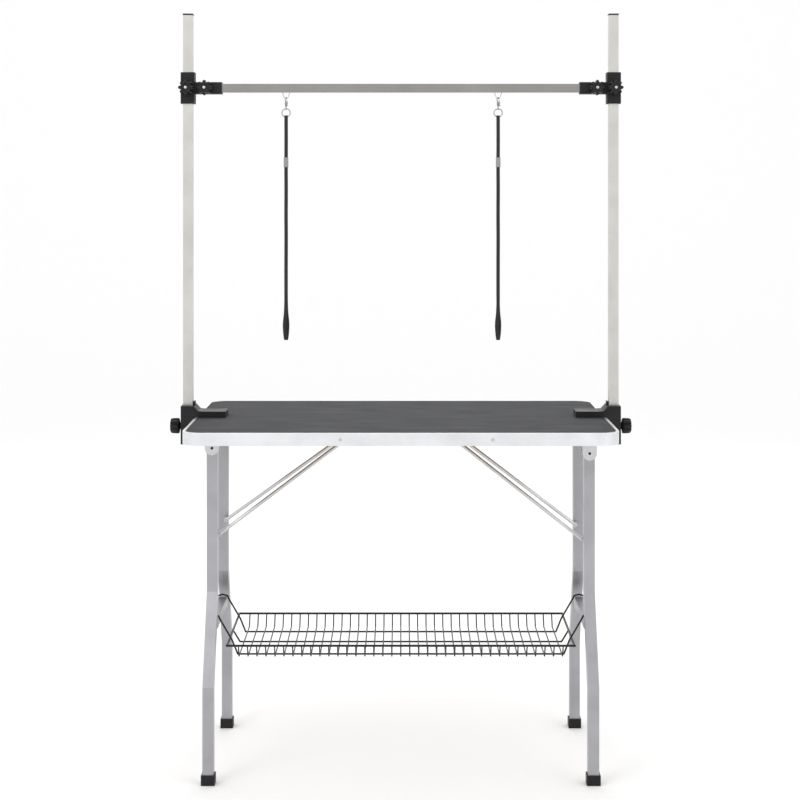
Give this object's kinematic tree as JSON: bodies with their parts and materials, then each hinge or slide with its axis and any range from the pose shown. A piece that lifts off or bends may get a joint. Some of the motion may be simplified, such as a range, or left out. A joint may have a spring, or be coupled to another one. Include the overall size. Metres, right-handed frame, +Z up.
{
  "type": "grooming table",
  "caption": "Folding pet grooming table with a rubber-topped board, overhead arm on clamped posts, hanging nooses and a wire basket.",
  "frame": {"origin": "on the floor under the middle of the tabletop", "axes": "+X along the tabletop, -Y the front, +Z up"},
  "size_m": [1.0606, 0.6016, 1.7025],
  "materials": {
    "aluminium_rim": "satin",
    "board": "raw fibreboard",
    "mat": "fine texture",
    "post_tube": "satin",
    "bar_tube": "satin",
    "leg_tube": "satin",
    "black_plastic": "moulded",
    "zinc": "zinc plated",
    "nickel": "nickel plated",
    "black_wire": "powder coated",
    "strap": "woven nylon"
  },
  "bodies": {
    "table": {"tabletop_rim": "aluminium_rim", "tabletop_board": "board", "rubber_mat": "mat", "rim_screws": "zinc", "brace_runner": "zinc", "left_clamp": "black_plastic", "right_clamp": "black_plastic", "clamp_shims": "black_plastic", "hinge_brackets": "zinc", "hinge_pins": "black_wire"},
    "left_mast": {"left_post": "post_tube", "left_post_cap": "black_plastic"},
    "left_leg_frame": {"left_front_leg": "leg_tube", "left_rear_leg": "leg_tube", "left_feet": "black_plastic", "left_hinge_plates": "zinc", "left_brace_pins": "zinc", "left_leg_crossbar": "leg_tube"},
    "left_brace": {"left_front_brace": "zinc", "left_rear_brace": "zinc", "left_brace_end_pins": "zinc"},
    "left_corner": {"left_tee": "black_plastic"},
    "left_clamp_knob": {"left_clamp_knob": "black_plastic"},
    "left_bar_knob": {"left_bar_knob": "black_plastic"},
    "left_post_knob": {"left_post_knob": "black_plastic"},
    "right_mast": {"right_post": "post_tube", "right_post_cap": "black_plastic"},
    "right_leg_frame": {"right_front_leg": "leg_tube", "right_rear_leg": "leg_tube", "right_feet": "black_plastic", "right_hinge_plates": "zinc", "right_brace_pins": "zinc", "right_leg_crossbar": "leg_tube"},
    "right_brace": {"right_front_brace": "zinc", "right_rear_brace": "zinc", "right_brace_end_pins": "zinc"},
    "right_corner": {"right_tee": "black_plastic"},
    "right_clamp_knob": {"right_clamp_knob": "black_plastic"},
    "right_bar_knob": {"right_bar_knob": "black_plastic"},
    "right_post_knob": {"right_post_knob": "black_plastic"},
    "arm": {"crossbar": "bar_tube", "noose_eyes": "zinc"},
    "left_hook": {"left_snap_hook": "nickel"},
    "left_trigger": {"left_snap_trigger": "nickel"},
    "left_swivel": {"left_swivel_eye": "nickel"},
    "left_noose": {"left_noose_ring": "nickel", "left_noose_strap": "strap"},
    "left_adjuster": {"left_noose_slide": "nickel"},
    "right_hook": {"right_snap_hook": "nickel"},
    "right_trigger": {"right_snap_trigger": "nickel"},
    "right_swivel": {"right_swivel_eye": "nickel"},
    "right_noose": {"right_noose_ring": "nickel", "right_noose_strap": "strap"},
    "right_adjuster": {"right_noose_slide": "nickel"},
    "basket": {"basket_floor": "black_wire", "basket_front_side": "black_wire", "basket_rear_side": "black_wire", "basket_ends": "black_wire", "basket_front_hanger": "black_wire", "basket_rear_hanger": "black_wire"}
  },
  "joints": [
    {"name": "left_leg_fold", "type": "hinge", "parent": "table", "child": "left_leg_frame", "pos_m": [-0.42, 0, 0.723], "axis": [0, -1, 0], "range_deg": [0, 90]},
    {"name": "left_brace_fold", "type": "hinge", "parent": "left_leg_frame", "child": "left_brace", "pos_m": [-0.41, 0, 0.522], "axis": [0, 1, 0], "range_deg": [0, 125]},
    {"name": "left_clamp_knob_turn", "type": "hinge", "parent": "table", "child": "left_clamp_knob", "pos_m": [-0.51, 0, 0.755], "axis": [-1, 0, 0], "range_deg": [0, 360]},
    {"name": "right_leg_fold", "type": "hinge", "parent": "table", "child": "right_leg_frame", "pos_m": [0.42, 0, 0.711], "axis": [0, 1, 0], "range_deg": [0, 84]},
    {"name": "right_brace_fold", "type": "hinge", "parent": "right_leg_frame", "child": "right_brace", "pos_m": [0.41, 0, 0.51], "axis": [0, -1, 0], "range_deg": [0, 122.66]},
    {"name": "right_clamp_knob_turn", "type": "hinge", "parent": "table", "child": "right_clamp_knob", "pos_m": [0.51, 0, 0.755], "axis": [1, 0, 0], "range_deg": [0, 360]},
    {"name": "left_post_lift", "type": "slide", "parent": "table", "child": "left_mast", "axis": [0, 0, 1], "range_m": [0, 0.05]},
    {"name": "right_post_lift", "type": "slide", "parent": "table", "child": "right_mast", "axis": [0, 0, 1], "range_m": [0, 0.05]},
    {"name": "bar_height", "type": "slide", "parent": "left_mast", "child": "left_corner", "axis": [0, 0, 1], "range_m": [-0.15, 0.12]},
    {"name": "right_corner_slide", "type": "slide", "parent": "right_mast", "child": "right_corner", "axis": [0, 0, 1], "range_m": [-0.15, 0.12]},
    {"name": "bar_shift", "type": "slide", "parent": "left_corner", "child": "arm", "axis": [1, 0, 0], "range_m": [-0.012, 0.012]},
    {"name": "left_bar_knob_turn", "type": "hinge", "parent": "left_corner", "child": "left_bar_knob", "pos_m": [-0.449, -0.02, 1.5315], "axis": [0, -1, 0], "range_deg": [0, 360]},
    {"name": "left_post_knob_turn", "type": "hinge", "parent": "left_corner", "child": "left_post_knob", "pos_m": [-0.491, -0.02, 1.5315], "axis": [0, -1, 0], "range_deg": [0, 360]},
    {"name": "right_bar_knob_turn", "type": "hinge", "parent": "right_corner", "child": "right_bar_knob", "pos_m": [0.449, -0.02, 1.5315], "axis": [0, -1, 0], "range_deg": [0, 360]},
    {"name": "right_post_knob_turn", "type": "hinge", "parent": "right_corner", "child": "right_post_knob", "pos_m": [0.491, -0.02, 1.5315], "axis": [0, -1, 0], "range_deg": [0, 360]},
    {"name": "left_noose_swing", "type": "hinge", "parent": "arm", "child": "left_hook", "pos_m": [-0.264, 0, 1.5078], "axis": [0, 1, 0], "range_deg": [-7, 7]},
    {"name": "left_trigger_pull", "type": "slide", "parent": "left_hook", "child": "left_trigger", "axis": [0, 0, -1], "range_m": [0, 0.0035], "stiffness_N_per_m": 200, "springref_m": -0.002},
    {"name": "left_swivel_turn", "type": "hinge", "parent": "left_hook", "child": "left_swivel", "pos_m": [-0.264, 0, 1.4892], "axis": [0, 0, 1], "continuous": true},
    {"name": "left_noose_tilt", "type": "hinge", "parent": "left_swivel", "child": "left_noose", "pos_m": [-0.264, 0, 1.485], "axis": [1, 0, 0], "range_deg": [-14, 14]},
    {"name": "left_noose_adjust", "type": "slide", "parent": "left_noose", "child": "left_adjuster", "axis": [0, 0, 1], "range_m": [-0.25, 0.06]},
    {"name": "right_noose_swing", "type": "hinge", "parent": "arm", "child": "right_hook", "pos_m": [0.224, 0, 1.5078], "axis": [0, 1, 0], "range_deg": [-7, 7]},
    {"name": "right_trigger_pull", "type": "slide", "parent": "right_hook", "child": "right_trigger", "axis": [0, 0, -1], "range_m": [0, 0.0035], "stiffness_N_per_m": 200, "springref_m": -0.002},
    {"name": "right_swivel_turn", "type": "hinge", "parent": "right_hook", "child": "right_swivel", "pos_m": [0.224, 0, 1.4892], "axis": [0, 0, 1], "continuous": true},
    {"name": "right_noose_tilt", "type": "hinge", "parent": "right_swivel", "child": "right_noose", "pos_m": [0.224, 0, 1.485], "axis": [1, 0, 0], "range_deg": [-14, 14]},
    {"name": "right_noose_adjust", "type": "slide", "parent": "right_noose", "child": "right_adjuster", "axis": [0, 0, 1], "range_m": [-0.25, 0.06]},
    {"name": "basket_lift", "type": "slide", "parent": "table", "child": "basket", "axis": [0, 0, 1], "range_m": [0, 0.06]}
  ],
  "couplings": [
    {"joint": "left_brace_fold", "follows": "left_leg_fold", "ratio": 1.3778},
    {"joint": "right_brace_fold", "follows": "right_leg_fold", "ratio": 1.4483},
    {"joint": "right_post_lift", "follows": "left_post_lift", "ratio": 1},
    {"joint": "right_corner_slide", "follows": "bar_height", "ratio": 1}
  ]
}
